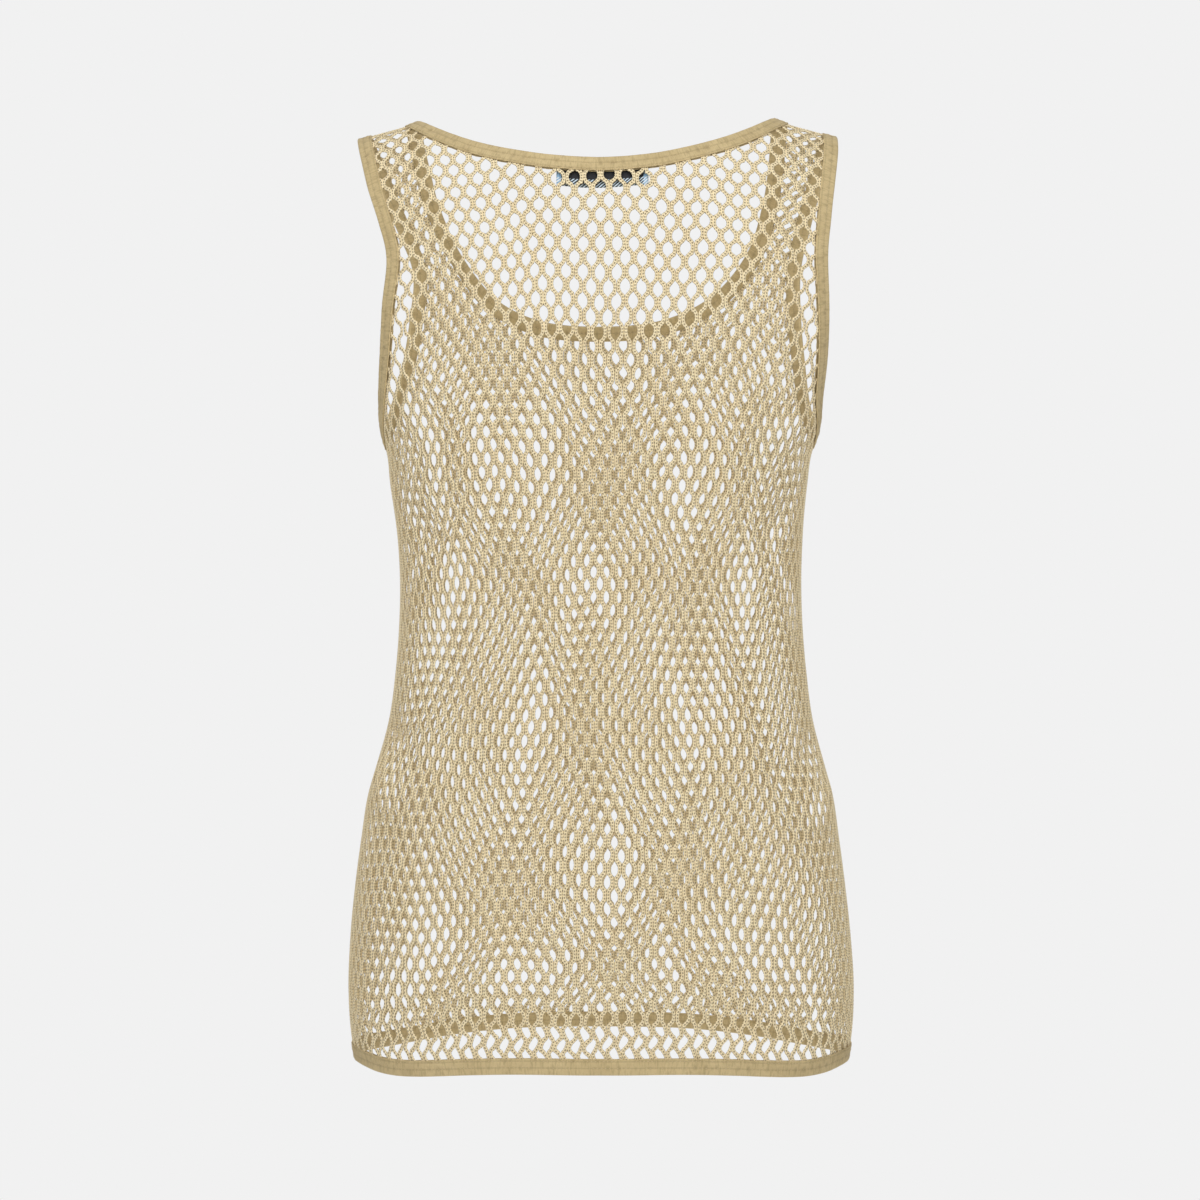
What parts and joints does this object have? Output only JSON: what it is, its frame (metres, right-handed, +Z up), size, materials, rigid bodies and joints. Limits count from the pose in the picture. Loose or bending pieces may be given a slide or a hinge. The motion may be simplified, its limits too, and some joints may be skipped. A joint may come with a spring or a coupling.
{
  "type": "mesh tank top",
  "caption": "Sleeveless scoop-neck tank top in open cotton net with folded jersey edges, kept hollow in the shape it has when worn.",
  "frame": {"origin": "midway between the two shoulder lines, at their mean height, in the plane of the side and shoulder seams", "axes": "+Z up, +Y out of the back, +X to the wearer's left; the front faces -Y"},
  "size_m": [0.354, 0.2367, 0.6524],
  "materials": {
    "cotton_net": "open net knitted from matt cream-beige cotton yarn, wales that join and part round lens-shaped holes",
    "cotton_jersey": "matt beige single jersey, folded over the edge and held with two rows of fine stitches",
    "woven_label": "plain black woven tape with a pale striped lower edge, no lettering"
  },
  "bodies": {
    "root": {"back_panel": "cotton_net", "front_panel": "cotton_net", "neck_strip": "cotton_jersey", "left_armhole_strip": "cotton_jersey", "right_armhole_strip": "cotton_jersey", "hem_strip": "cotton_jersey", "neck_label": "woven_label"}
  },
  "joints": []
}
